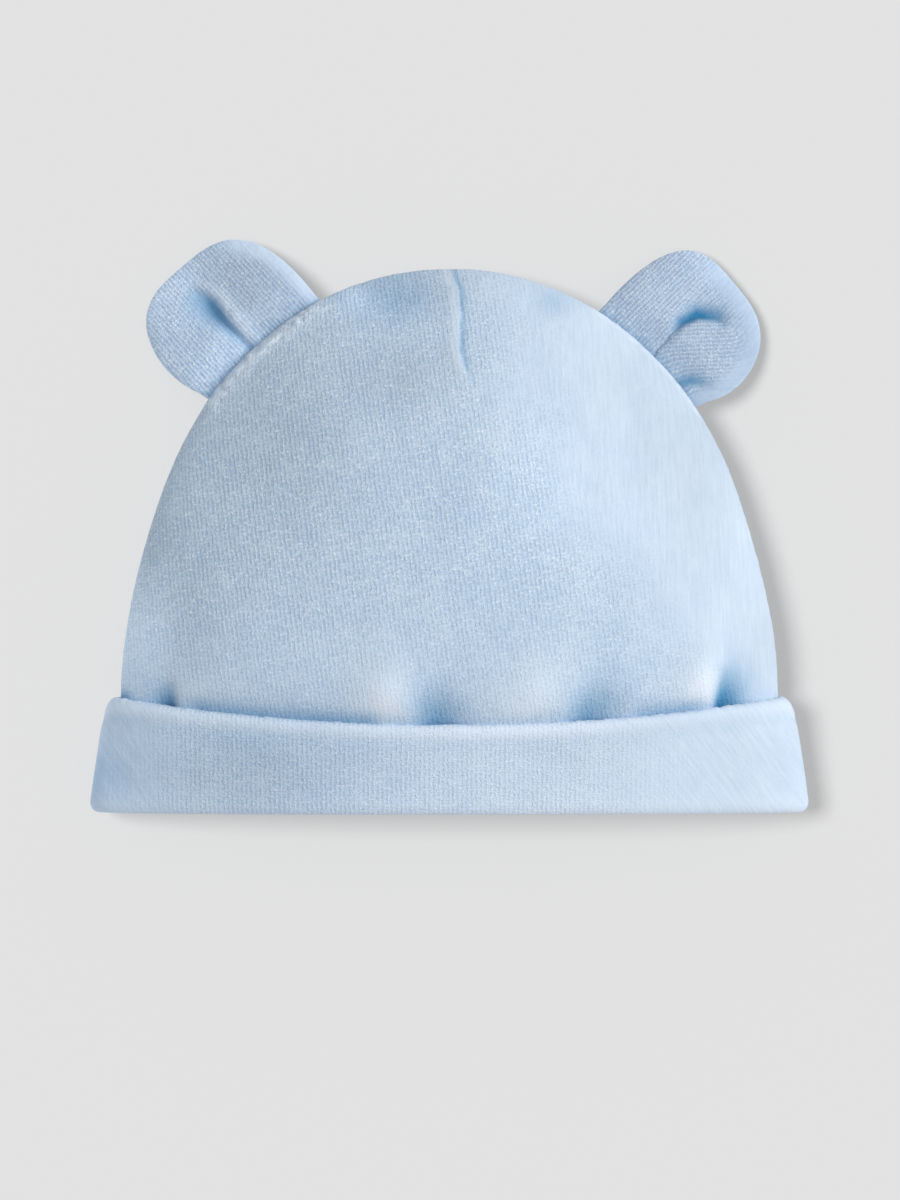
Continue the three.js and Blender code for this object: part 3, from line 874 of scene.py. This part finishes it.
class Shader:
    """A material whose nodes are made by calls."""

    def __init__(self, name):
        self.material = bpy.data.materials.new(name)
        self.material.use_nodes = True
        self.tree = self.material.node_tree
        self.tree.nodes.clear()

    def node(self, kind, settings=None, **inputs):
        """Adds a node, sets its settings and then its sockets. A socket's name has _ for a space."""
        made = self.tree.nodes.new("ShaderNode" + kind)
        for key, value in (settings or {}).items():
            setattr(made, key, value)
        for key, value in inputs.items():
            name = key.replace("_", " ")
            self.feed(next(s for s in made.inputs if s.name == name and s.enabled), value)
        return made

    def feed(self, socket, value):
        """Links a socket to a value, or gives it a plain one."""
        if isinstance(value, Value):
            value = value.socket
        if isinstance(value, bpy.types.NodeSocket):
            self.tree.links.new(value, socket)
        elif socket.type == "RGBA":
            socket.default_value = (*value, 1)
        else:
            socket.default_value = value

    def value(self, kind, settings=None, out=0, **inputs):
        """Adds a node and gives one of its outputs as a shader value."""
        return Value(self, self.node(kind, settings, **inputs).outputs[out])

    def math(self, operation, *values):
        """Works on numbers with a Math node."""
        made = self.node("Math", {"operation": operation})
        for socket, value in zip(made.inputs, values):
            self.feed(socket, value)
        return Value(self, made.outputs[0])

    def ramp(self, value, low, high):
        """0 below low and 1 above high, with a soft change between."""
        return self.value(
            "MapRange", {"interpolation_type": "SMOOTHSTEP"}, Value=value, From_Min=low, From_Max=high
        )

    def blend(self, factor, one, other, way="MIX"):
        """Mixes two colours."""
        made = self.node("Mix", {"data_type": "RGBA", "blend_type": way})
        factor_socket, colour_a, colour_b, colour_out = 0, 6, 7, 2
        for number, value in ((factor_socket, factor), (colour_a, one), (colour_b, other)):
            self.feed(made.inputs[number], value)
        return made.outputs[colour_out]

    def vector(self, operation, one, other):
        """Works on places or colours with a Vector Math node."""
        made = self.node("VectorMath", {"operation": operation})
        self.feed(made.inputs[0], one)
        self.feed(made.inputs[1], other)
        return made.outputs[0]

    def noise(self, where, size, detail=2.0, roughness=0.5, out="Fac"):
        """Noise over places, with marks of a size."""
        return self.value(
            "TexNoise", out=out, Vector=where, Scale=1 / size, Detail=detail, Roughness=roughness
        )

    def mask(self, name):
        """One of the cloth's masks."""
        return self.value("Attribute", {"attribute_name": name}, out="Fac")


def velour(name, look):
    """One of the hat's velours, made once: soft beads of pile along the knit's ribs, some of them
    light, with patches where the nap lies another way."""
    if name in bpy.data.materials:
        return bpy.data.materials[name]
    kind = VELOURS[name]
    s = Shader(name)
    on_cloth = s.node("UVMap", {"uv_map": UV_NAME}).outputs[0]
    in_space = s.node("TexCoord").outputs["Object"]
    smooth, light, dent, brush = (s.mask(name) for name in ("smooth", "light", "dent", "brush"))
    drift = s.vector("SUBTRACT", s.noise(on_cloth, DRIFT_SIZE, 1, out="Color"), (0.5, 0.5, 0.5))
    drift = s.vector("MULTIPLY", drift, (DRIFT, DRIFT, 0))
    knitted = s.vector("ADD", on_cloth, drift)
    cell = s.vector("MULTIPLY", knitted, (1 / look.wale_pitch, 1 / look.course_pitch, 1))
    beads = s.node("TexVoronoi", {"voronoi_dimensions": "2D"}, Vector=cell, Scale=1.0, Randomness=0.6)
    bead = 1 - Value(s, beads.outputs["Distance"])
    lot = s.value("SeparateColor", Color=beads.outputs["Color"])
    rib = s.math("COSINE", s.value("SeparateXYZ", Vector=cell) * (2 * math.pi))
    tuft_place = s.vector("MULTIPLY", knitted, (1 / TUFT_SIZE[0], 1 / TUFT_SIZE[1], 1))
    tuft = s.noise(tuft_place, 1, roughness=0.6) - 0.5
    patch = s.noise(in_space, PATCH_SIZE, detail=3, roughness=0.55) - 0.5
    mottle = s.noise(in_space, MOTTLE_SIZE, roughness=0.6) - 0.5
    plain = (1 - GRAIN["hidden"] * smooth) * kind["knit"]
    grain = GRAIN["bead"] * (bead - GRAIN["middle"]) + kind["ribs"] * rib
    grain = (grain + GRAIN["tuft"] * tuft + GRAIN["lot"] * (lot - 0.5)) * plain
    stroke_place = s.node(
        "Mapping",
        {"vector_type": "TEXTURE"},
        Vector=on_cloth,
        Rotation=(0, 0, math.radians(kind["strokes"])),
        Scale=STROKE_SIZE,
    ).outputs[0]
    stroke = (s.noise(stroke_place, 1) - 0.5) * smooth
    tone = TONE["middle"] + TONE["grain"] * grain + TONE["patch"] * patch + TONE["mottle"] * mottle
    tone = tone + TONE["stroke"] * stroke + TONE["tuft"] * tuft
    colour = s.blend(tone, look.depths, look.pile)
    # Painted light and painted highlights from the light mask, partly where the nap lies smooth
    colour = s.blend(light * (BRUSHED["share"] + BRUSHED["tuft"] * tuft), colour, look.brushed)
    # Light tips on the raised beads, partly painted highlights
    colour = s.blend(s.ramp(grain, TIPS["low"], TIPS["high"]) * TIPS["share"], colour, look.tips)
    # Painted shade from the dent mask, in folds, creases, puckers and hollows
    colour = s.blend(dent, colour, s.blend(1.0, colour, look.painted_fold_shade, "MULTIPLY"))
    # Lighter or darker by the last mask, partly nap and partly painted light and painted shade, then each
    # velour's own shift of colour
    colour = s.vector("MULTIPLY", s.vector("MULTIPLY", colour, 1 + brush), kind["cast"])
    relief = grain + BUMP["tuft"] * tuft + BUMP["stroke"] * stroke + BUMP["mottle"] * mottle
    bump = s.node("Bump", Strength=0.75, Distance=0.4 * MM, Height=relief)
    cloth = s.node(
        "BsdfPrincipled",
        Base_Color=colour,
        Roughness=0.95,
        Specular_IOR_Level=0.12,
        Sheen_Weight=look.sheen,
        Sheen_Roughness=0.42,
        Sheen_Tint=(0.9, 0.95, 1.0),
        Normal=bump.outputs[0],
    )
    s.node("OutputMaterial", Surface=cloth.outputs[0])
    return s.material


class HAT_OT_crown_front(bpy.types.Operator):
    """Makes the crown's front panel, with its dart, its puckers and its seam's rolled edge"""

    bl_idname = "hat.crown_front"
    bl_label = "Crown Front"

    def execute(self, context):
        shape = HatShape(context.scene)
        crown = shape.crown
        cells, skirt_cells = (216, 200), 36

        def place(u, v):
            x, y = shape.draw_in(u, v, skirt_cells / cells[1])
            relief, masks = shape.front_look(x, y)
            wavy = waves(x, y, 19 * MM, seed=3.1) + 0.35 * waves(x, y, 7 * MM, seed=8.4)
            free = rises(y - shape.cuff_edge(x), 0, 6) * shape.off_seam(x, y)
            z = shape.front_height(x, y, relief + free * crown.waviness * wavy)
            fuzz = crown.fuzz * waves(x, y, FUZZ_SIZE, seed=5.5) * rises(z - crown.seam_height, 0, 1.5)
            z = z + fuzz
            way = shape.outward_way(x, y)
            tuck = shape.seam_shift(x, y, z) + fuzz * hump(z - crown.seam_height, 0, 6)
            run = run_across(shape.front_height, x, y), run_up(shape.front_height, y, shape.shoulder)
            on_cloth = turned(*run, context.scene.hat_velour.lean)
            return in_place(x + way[0] * tuck, y + way[1] * tuck, z), on_cloth, masks

        bm = bmesh.new()
        lay_grid(bm, cells, place)
        material = velour("crown_velour", context.scene.hat_velour)
        piece = new_piece("crown_front_cloth", bm, material)
        thicken(piece, shape.cloth)
        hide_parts("crown_front")
        return {"FINISHED"}


class HAT_OT_crown_back(bpy.types.Operator):
    """Makes the crown's back panel, which lies on the floor"""

    bl_idname = "hat.crown_back"
    bl_label = "Crown Back"

    def execute(self, context):
        shape = HatShape(context.scene)
        cells, skirt_cells = (150, 110), 24

        def place(u, v):
            x, y = shape.plan(-u, v, skirt_cells / cells[1])
            wavy = waves(x, y, 21 * MM, seed=5.7)
            z = shape.back_height(x, y) + BACK_WAVE * (wavy + 1) * (1 - shape.margin(x, y))
            tuck = shape.seam_shift(x, y, z)
            way = shape.outward_way(x, y)
            run = run_across(shape.back_height, x, y), run_up(shape.back_height, y, shape.shoulder)
            brushed = ease(wavy * 0.8 + 0.3)
            masks = {
                "smooth": CROWN_LOOK["back_smooth"] * brushed,
                "light": CROWN_LOOK["back_light"] * brushed,
            }
            return in_place(x + way[0] * tuck, y + way[1] * tuck, z), np.stack(run, -1), masks

        bm = bmesh.new()
        lay_grid(bm, cells, place)
        material = velour("crown_velour", context.scene.hat_velour)
        piece = new_piece("crown_back_cloth", bm, material)
        thicken(piece, shape.cloth)
        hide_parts("crown_back")
        return {"FINISHED"}


class HAT_OT_cuff(bpy.types.Operator):
    """Makes the cuff: one band of cloth turned up at the fold, over at its upper edge and down inside"""

    bl_idname = "hat.cuff"
    bl_label = "Cuff"

    def execute(self, context):
        shape = HatShape(context.scene)
        cells = (420, 84)

        def place(u, v):
            turn = (u + 1) / 2
            out, up = cuff_section(shape, v)
            front = turn < 0.5
            across = np.where(front, 1 - 4 * turn, 4 * turn - 3)
            edge = shape.cuff_edge(shape.half_width(up) * np.sin(across * QUARTER))
            foot = shape.cuff.doubled
            above = np.maximum(up - foot, 0) / (shape.cuff.depth - foot)
            y = np.minimum(up, foot) + above * (edge - foot)
            x = shape.half_width(np.maximum(y, 0)) * np.sin(across * QUARTER)
            z = np.where(front, shape.front_height(x, y), shape.back_height(x, y))
            way = cuff_way(shape, x, y, z, front)
            dent, tint = cuff_dents(shape, x, y)
            relief, teeth, masks = cuff_look(shape, x, y, z, edge - y)
            # The dents' painted shade joins the painted shade under the rolled edge
            masks["dent"] = tint + masks["dent"]
            dent = dent * np.clip(way[1], 0, 1) ** 2
            outer = rises(out - foot * 0.5, 0, 1)
            out = out + outer * np.where(front, relief - dent, RELIEF_UNDER * relief)
            corner_reach, farthest = 5 * MM, 1.2
            far = np.clip((np.abs(x + way[0] * out) - shape.half) / corner_reach, 0, farthest)
            drop = shape.cuff.corner * far**2 * rises(y - edge, -9, 9) - CUFF_TEETH_DROP * teeth
            point = in_place(x + way[0] * out, y - drop, z + way[1] * out)
            return point, np.stack([band_run(shape, x, y, front), v * BAND_WIDTH], -1), masks

        bm = bmesh.new()
        lay_grid(bm, cells, place)
        bmesh.ops.remove_doubles(bm, verts=bm.verts, dist=0.001 * MM)
        bmesh.ops.recalc_face_normals(bm, faces=bm.faces)
        material = velour("cuff_velour", context.scene.hat_velour)
        piece = new_piece("cuff_cloth", bm, material)
        thicken(piece, shape.cloth - LAYERS_APART)
        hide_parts("cuff")
        return {"FINISHED"}


def cuff_section(shape, v):
    """The visible face of the cuff's cloth, out from the crown's face and up from the fold. It starts
    inside the mouth, turns up round the fold, and goes over the upper edge and down inside."""
    doubled = shape.cuff.doubled
    outer = GAP + doubled
    neck = shape.cuff.depth - shape.cuff.edge_round
    fold_half = (outer + shape.cloth) / 2
    turn_steps, leg_steps = 25, 33
    turn = np.linspace(0, math.pi, turn_steps)
    legs = np.linspace(0, 1, leg_steps)[1:-1]
    out = np.concatenate([
        outer - fold_half - fold_half * np.cos(turn),
        np.full(legs.size, outer),
        outer - doubled / 2 + doubled / 2 * np.cos(turn),
        np.full(legs.size, GAP),
    ])
    up = np.concatenate([
        doubled * (1 - np.sin(turn)),
        mix(doubled, neck, legs),
        neck + shape.cuff.edge_round * np.sin(turn),
        mix(neck, doubled, legs),
    ])
    run = np.concatenate([[0], np.cumsum(np.hypot(np.diff(out), np.diff(up)))])
    at = v * run[-1]
    return np.interp(at, run, out), np.interp(at, run, up)


def cuff_way(shape, x, y, z, front):
    """The way out from the crown's face round the mouth, across and up."""
    top = shape.crown.seam_height
    drop = top - shape.back_floor(y)
    across_back = np.sign(x) * shape.margin(x, y) / shape.crown.edge_round
    ring_x = np.where(front, x / shape.half_width(y) ** 2, across_back)
    ring_z = np.where(front, (z - top) / shape.rise(y) ** 2, (z - top) / drop**2)
    smallest = 1e-9
    size = np.maximum(np.hypot(ring_x, ring_z), smallest)
    return ring_x / size, ring_z / size


def cuff_look(shape, x, y, z, from_edge):
    """How far the cuff's cloth stands out, the soft teeth of its edge and its masks."""
    wavy = waves(x, y + 3 * z, 17 * MM, seed=2.3) + 0.4 * waves(x, y + 3 * z, 6 * MM, seed=6.2)
    teeth = waves(x, 3 * y, 1 * MM, seed=4.9) * hump(from_edge, 0, 1.6)
    roll = hump(from_edge, 1.9, 1.7) * (1 - ease((np.abs(x) - shape.half) / (6 * MM) + 1))
    relief = shape.cuff.roll * roll - CUFF_LINE * hump(from_edge, 4.6, 0.9)
    relief = relief + CUFF_WAVE * wavy + CUFF_TEETH * teeth
    # The band along the rolled edge, which gets a painted highlight, less on the right
    band = hump(from_edge, 1.8, 2.4) * (1 - 0.8 * rises(x, 15, 40))
    smooth = rises(x, 25, 40) + CUFF_LOOK["left_smooth"] * rises(-x, 58, 20)
    # Lighter on the right, partly the nap and partly painted light, and the band's painted highlight
    light = CUFF_LOOK["right_nap_and_painted_light"] * rises(x, -45, 85) + CUFF_LOOK["band_painted_highlight"] * band
    masks = {
        # Painted shade in a line under the rolled edge
        "dent": CUFF_LOOK["line_painted_shade"] * hump(from_edge, 5.2, 1.2),
        "smooth": np.clip(smooth + CUFF_LOOK["roll_smooth"] * roll, 0, 1),
        "light": np.clip(light + CUFF_LOOK["fold_light"] * hump(y, 0, 3), 0, 1),
        # Patches painted lighter or darker, partly nap and partly painted light and shade, and the band
        # painted lighter
        "brush": spots(CUFF_PATCHES, x / MM, y / MM, "lighter") + CUFF_LOOK["band_painted_lightening"] * band,
    }
    return relief, teeth, masks


def cuff_dents(shape, x, y):
    """The depth of the cuff's soft dents and the painted shade in them."""
    dent = np.zeros_like(x)
    tint = np.zeros_like(x)
    for d in CUFF_DENTS:
        side = (x - d["across"] * shape.crown.mouth_width / 2) / (d["width"] * MM)
        along = (y - d["up"] * shape.cuff.depth) / (d["height"] * MM)
        here = bell(side) * bell(along)
        dent = dent + d["depth"] * MM * here
        tint = tint + d["tint"] * here
    return dent, tint


def band_run(shape, x, y, front):
    """How far along the cuff's band a place is: over the front, and on round the left side."""
    over_front = run_across(shape.front_height, x, y)
    edge = shape.half_width(y)
    front_half = run_across(shape.front_height, edge, y)
    back_half = run_across(shape.back_height, edge, y)
    under_back = -front_half - back_half - run_across(shape.back_height, x, y)
    return np.where(front, over_front, under_back)


def ear_plan(shape, ear, u, v):
    """Places on an ear in its own plan, a rounded tongue with its root on the crown's outline, and
    how near its seam they are."""
    middle, along, out_way = shape.ear_frame(ear)
    width, length = ear["width"] * shape.ears.width, ear["length"] * shape.ears.length
    out, angle = half_disc(u, v)
    r = np.sin(out * QUARTER) * reach(angle, shape.ears.fullness)
    wide = width / 2 * np.where(u > 0, 1 + ear["skew"], 1 - ear["skew"])
    x, y = r * np.cos(angle) * wide, r * np.sin(angle) * length
    y = y - ear["slant"] * x * y / length
    share = np.sin(u * QUARTER)
    sewn = share * np.where(u > 0, 1 - ear["tuck"], 1)
    root = np.stack(shape.on_dome(np.radians(ear["angle"] - ear["span"] * sewn)), -1) - middle
    pull = (1 - v) ** 3
    return x + pull * (root @ along - share * wide), y + pull * (root @ out_way), out


def creases(ear, x, y):
    """How deep an ear's creases are at a place, how much painted shade darkens and blues them, and how high
    the rolls beside them.
    """
    depth, tint, roll = np.zeros((3, x.size))
    for c in ear["creases"]:
        line = np.stack([c["x"], c["y"]], -1) * MM
        at = np.arange(len(line))
        steps_a_place = 16
        fine = np.linspace(0, at[-1], steps_a_place * len(line))
        path = np.stack([np.interp(fine, at, line[:, k]) for k in (0, 1)], -1)
        away = np.hypot(x[:, None] - path[:, 0], y[:, None] - path[:, 1])
        nearest = away.argmin(1)
        away = away.min(1)
        here = fine[nearest]
        step = np.gradient(path, axis=0)[nearest]
        inner = step[:, 0] * (y - path[nearest, 1]) - step[:, 1] * (x - path[nearest, 0]) > 0
        wide = np.where(inner, np.interp(here, at, c["inner"]), np.interp(here, at, c["outer"])) * MM
        depth = np.maximum(depth, np.interp(here, at, c["depth"]) * bell(away / wide))
        tint = np.maximum(tint, np.interp(here, at, c["tint"]) * bell(away / (0.9 * wide)))
        top = hump(away, 2.4, 1.6) * rises(away, 0, 1.2)
        roll = roll + np.where(inner, c["roll"] * np.interp(here, at, c["depth"]) * top, 0)
    return depth, tint, roll


def knit_places(ear, x, y):
    """Places on an ear's knit, which is turned about the end of the first crease: all the way past
    the crease, and less and less round its end."""
    crease = ear["creases"][0]
    line_x, line_y = np.array(crease["x"]) * MM, np.array(crease["y"]) * MM
    dx, dy = x - line_x[-1], y - line_y[-1]
    past = x > np.interp(y, line_y, line_x)
    round_end = 1 - ease(np.arctan2(dy, dx) / math.radians(120) + 0.5)
    angle = math.radians(ear["turned"]) * np.where(dx < 0, past, round_end)
    return turned(dx, dy, -angle)


def ear_layer(shape, ear, facing):
    """Gives the place function of an ear's front layer, facing 1, or its back layer, facing -1."""
    sizes = shape.ears
    middle, along, out_way = shape.ear_frame(ear)
    length = ear["length"] * sizes.length
    front = facing > 0

    def place(u, v):
        x, y, near = ear_plan(shape, ear, ear["side"] * facing * u, v)
        from_root = y - shape.root_line(ear, x)
        depth, tint, roll = (front * part for part in creases(ear, x, y))
        wavy = waves(x + ear["side"], y, 9 * MM, seed=4.4)
        fuzz = shape.crown.fuzz * waves(x + ear["side"], y, FUZZ_SIZE, seed=6.5)
        root = mix(0.5, 1, rises(from_root, 0, 9))
        loft = sizes.front_loft if front else sizes.back_loft
        inside = np.cos(near * QUARTER) ** 0.7
        creased = root * (loft - sizes.crease_depth * depth)
        lift = inside * (creased + EAR_WAVE * wavy + EAR_ROLL * roll)
        lift = lift - front * ROOT_GROOVE * inside * hump(from_root, 0, 0.9)
        seam = mix(shape.crown.seam_height, sizes.tip_height, ease(y / length))
        sunk = ROOT_SUNK * (1 - rises(from_root, 0, 3.2))
        side_share = 0.4
        side_way = side_share * fuzz
        across = np.outer(x * (1 + side_way / length), along)
        plan = middle + across + np.outer(y - sunk + side_way, out_way)
        points = in_place(ear["side"] * plan[:, 0], plan[:, 1], seam + facing * lift + fuzz)
        on_cloth = EAR_KNIT * knit_places(ear, x, y)
        rim = ease((near - 0.54) / 0.22)
        inner_rim = rim * rises(-x, 8, 7) * (ear["side"] < 0)
        outer_rim = rim * rises(x, -10, 8) * (ear["side"] > 0)
        smooth = np.clip(inner_rim + outer_rim + tint, 0, 1)
        # Painted light on the rims, and painted highlights on the rolls beside the creases
        light = EAR_LOOK["inner_rim_painted_light"] * inner_rim + EAR_LOOK["outer_rim_painted_light"] * outer_rim
        light = np.clip(light + EAR_LOOK["roll_painted_highlight"] * roll, 0, 1)
        # Painted shade in the creases and along the root
        dent = np.maximum(tint, front * EAR_LOOK["root_painted_shade"] * hump(from_root, 0, 1.5))
        # How much lighter each half of the ear is painted, negative where painted shade darkens it, then
        # lighter on the inner rim, towards the tip and by the seam
        brush = mix(ear["inside"], ear["outside"], rises(x, -6, 10))
        brush = brush + EAR_LOOK["inner_rim_painted_lightening"] * inner_rim
        brush = brush + EAR_LOOK["tip_brush"] * ease((y / length - 0.7) / 0.3)
        brush = brush + EAR_LOOK["seam_painted_lightening"] * ease((near - 0.85) / 0.15)
        masks = {"dent": np.clip(dent, 0, 1), "smooth": smooth, "light": light, "brush": brush}
        return points, on_cloth, masks

    return place


class HAT_OT_ears(bpy.types.Operator):
    """Makes both ears, each two layers of cloth sewn round their edge and set into the crown's seam"""

    bl_idname = "hat.ears"
    bl_label = "Ears"

    def execute(self, context):
        shape = HatShape(context.scene)
        material = velour("ear_velour", context.scene.hat_velour)
        for ear in EARS:
            bm = bmesh.new()
            for facing in (1, -1):
                lay_grid(bm, (132, 100), ear_layer(shape, ear, facing))
            bmesh.ops.remove_doubles(bm, verts=bm.verts, dist=0.002 * MM)
            piece = new_piece(f"{ear['name']}_cloth", bm, material)
            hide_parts(f"{ear['name']}_front", f"{ear['name']}_back")
        return {"FINISHED"}


def light(name, kind, energy, at, size):
    """Makes a light that shines from a place at the middle of the hat. size is a soft lamp's width, or
    a sun's angle."""
    data = bpy.data.lights.new(name, kind)
    data.energy = energy
    if kind == "AREA":
        data.shape = "DISK"
        data.size = size
    else:
        data.angle = size
    lamp = bpy.data.objects.new(name, data)
    lamp.location = at
    lamp.rotation_euler = Vector(at).to_track_quat("Z", "Y").to_euler()
    bpy.context.scene.collection.objects.link(lamp)
    return lamp


def shines_on(lamp, pieces):
    """Makes a light shine on some pieces alone."""
    group = bpy.data.collections.new("lit_by_" + lamp.name)
    for piece in pieces:
        group.objects.link(piece)
    lamp.light_linking.receiver_collection = group


class HAT_OT_stage(bpy.types.Operator):
    """Makes the floor, the soft lights and the camera straight above the hat"""

    bl_idname = "hat.stage"
    bl_label = "Stage"

    def execute(self, context):
        stage = context.scene.hat_stage
        hat = [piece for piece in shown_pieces() if not piece.hide_render]
        bm = bmesh.new()
        floor_reach = 8
        made = bmesh.ops.create_grid(bm, x_segments=1, y_segments=1, size=floor_reach)["verts"]
        bmesh.ops.translate(bm, vec=(0, 0, -NUDGE), verts=made)
        mesh = bpy.data.meshes.new("floor")
        bm.to_mesh(mesh)
        bm.free()
        floor = bpy.data.objects.new("floor", mesh)
        context.scene.collection.objects.link(floor)
        s = Shader("floor_paper")
        paper = s.node(
            "BsdfPrincipled",
            Base_Color=tuple(stage.floor),
            Roughness=1.0,
            Specular_IOR_Level=0.0,
            Emission_Color=(1, 1, 1),
            Emission_Strength=stage.glow,
        )
        s.node("OutputMaterial", Surface=paper.outputs[0])
        mesh.materials.append(s.material)
        floor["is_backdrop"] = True

        world = bpy.data.worlds.new("studio")
        context.scene.world = world
        world.use_nodes = True
        world.node_tree.nodes["Background"].inputs["Color"].default_value = (1, 1, 1, 1)
        world.node_tree.nodes["Background"].inputs["Strength"].default_value = stage.fill

        key = light("key", "AREA", stage.key, at=(1.0, 0.2, 0.95), size=0.6)
        key.data.color = stage.key_colour
        shines_on(key, hat)
        low_sun = light("floor_light", "SUN", stage.floor_sun, at=(-0.86, 0.22, 1.5), size=math.radians(24))
        shines_on(low_sun, [floor])

        data = bpy.data.cameras.new("camera")
        data.lens = stage.lens / MM
        camera = bpy.data.objects.new("camera", data)
        picture_middle = (0.12 * MM, FOLD_Y + 51.68 * MM)
        seam_height = 8 * MM
        above = seam_height + stage.covered * data.lens / data.sensor_width
        camera.location = (*picture_middle, above)
        context.scene.collection.objects.link(camera)
        context.scene.camera = camera
        context.scene.view_settings.view_transform = "Standard"
        return {"FINISHED"}


class HAT_PT_panel(bpy.types.Panel):
    """Lists the hat's settings and the operators that make its pieces"""

    bl_label = "Baby Hat"
    bl_idname = "HAT_PT_panel"
    bl_space_type = "VIEW_3D"
    bl_region_type = "UI"
    bl_category = "Hat"

    def draw(self, context):
        for name, group in SETTINGS.items():
            box = self.layout.box()
            box.label(text=group.__doc__)
            for key in group.__annotations__:
                box.prop(getattr(context.scene, name), key)
        for step in STEPS:
            self.layout.operator(step.bl_idname)


SETTINGS = {
    "hat_crown": CrownSettings,
    "hat_cuff": CuffSettings,
    "hat_ears": EarSettings,
    "hat_velour": VelourSettings,
    "hat_stage": StageSettings,
}
STEPS = (HAT_OT_crown_back, HAT_OT_crown_front, HAT_OT_cuff, HAT_OT_ears, HAT_OT_stage)


def register():
    for group in (*SETTINGS.values(), *STEPS, HAT_PT_panel):
        bpy.utils.register_class(group)
    for name, group in SETTINGS.items():
        setattr(bpy.types.Scene, name, bpy.props.PointerProperty(type=group))


def unregister():
    for name in SETTINGS:
        delattr(bpy.types.Scene, name)
    for group in reversed((*SETTINGS.values(), *STEPS, HAT_PT_panel)):
        bpy.utils.unregister_class(group)


def main():
    register()
    for step in STEPS:
        family, name = step.bl_idname.split(".")
        getattr(getattr(bpy.ops, family), name)()


if __name__ == "__main__":
    main()
